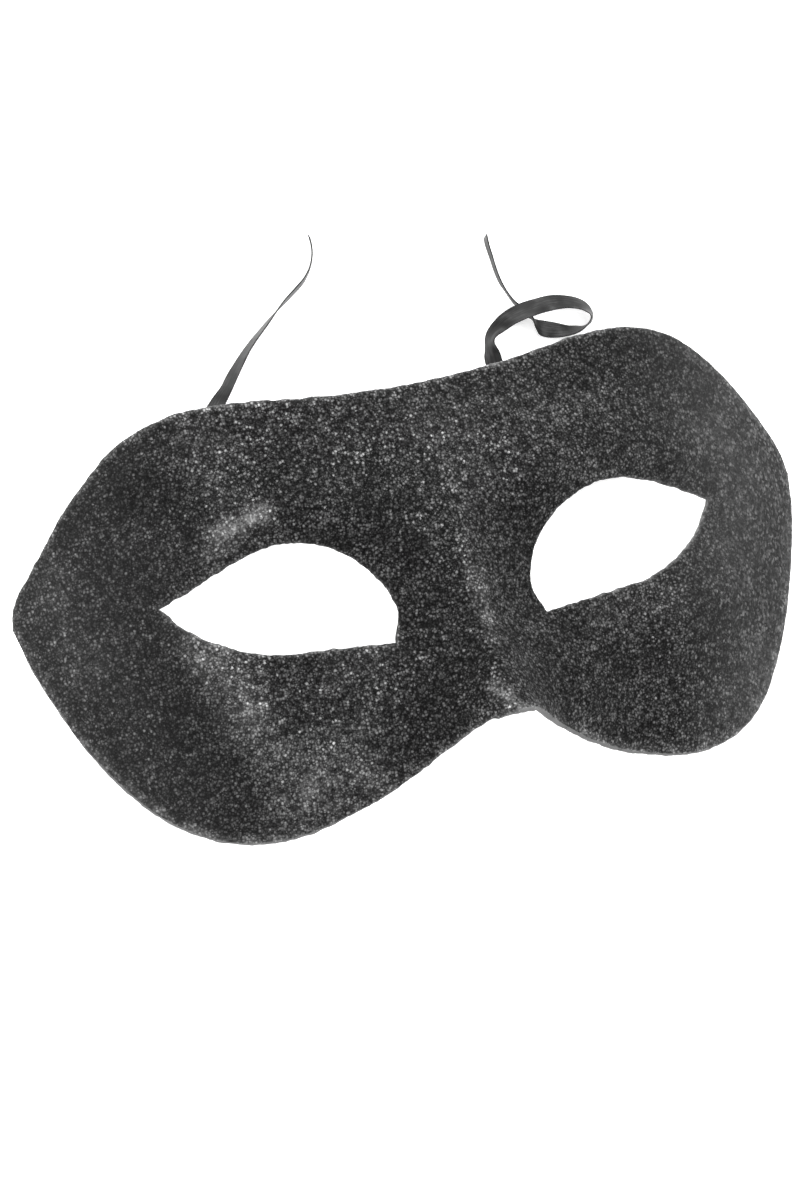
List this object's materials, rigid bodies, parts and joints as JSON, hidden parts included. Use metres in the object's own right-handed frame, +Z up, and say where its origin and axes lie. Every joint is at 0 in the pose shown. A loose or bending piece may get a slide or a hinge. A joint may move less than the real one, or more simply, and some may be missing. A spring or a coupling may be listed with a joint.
{
  "type": "domino mask",
  "caption": "Moulded half mask that covers the eyes and upper nose, with almond eye holes, a raised nose notch, full cheeks and two narrow satin ribbon ties, lying face up.",
  "frame": {"origin": "centre of the mask's box in X and Y, on the surface that it lies on; the ribbons are left out of this box", "axes": "+X from the mask's left temple to its right temple as seen from the front, +Y towards the forehead edge, +Z up, out of the mask's face"},
  "size_m": [0.1904, 0.1368, 0.0424],
  "materials": {
    "glitter_shell": "black glitter flakes on a moulded shell, paler grey bare edge and inside",
    "satin_ribbon": "dark grey satin weave"
  },
  "bodies": {
    "root": {"mask_shell": "glitter_shell", "ribbon_left_root": "satin_ribbon", "ribbon_left_hank": "satin_ribbon", "ribbon_left_tail": "satin_ribbon", "ribbon_right_root": "satin_ribbon", "ribbon_right_hank": "satin_ribbon", "ribbon_right_tail": "satin_ribbon"}
  },
  "joints": []
}
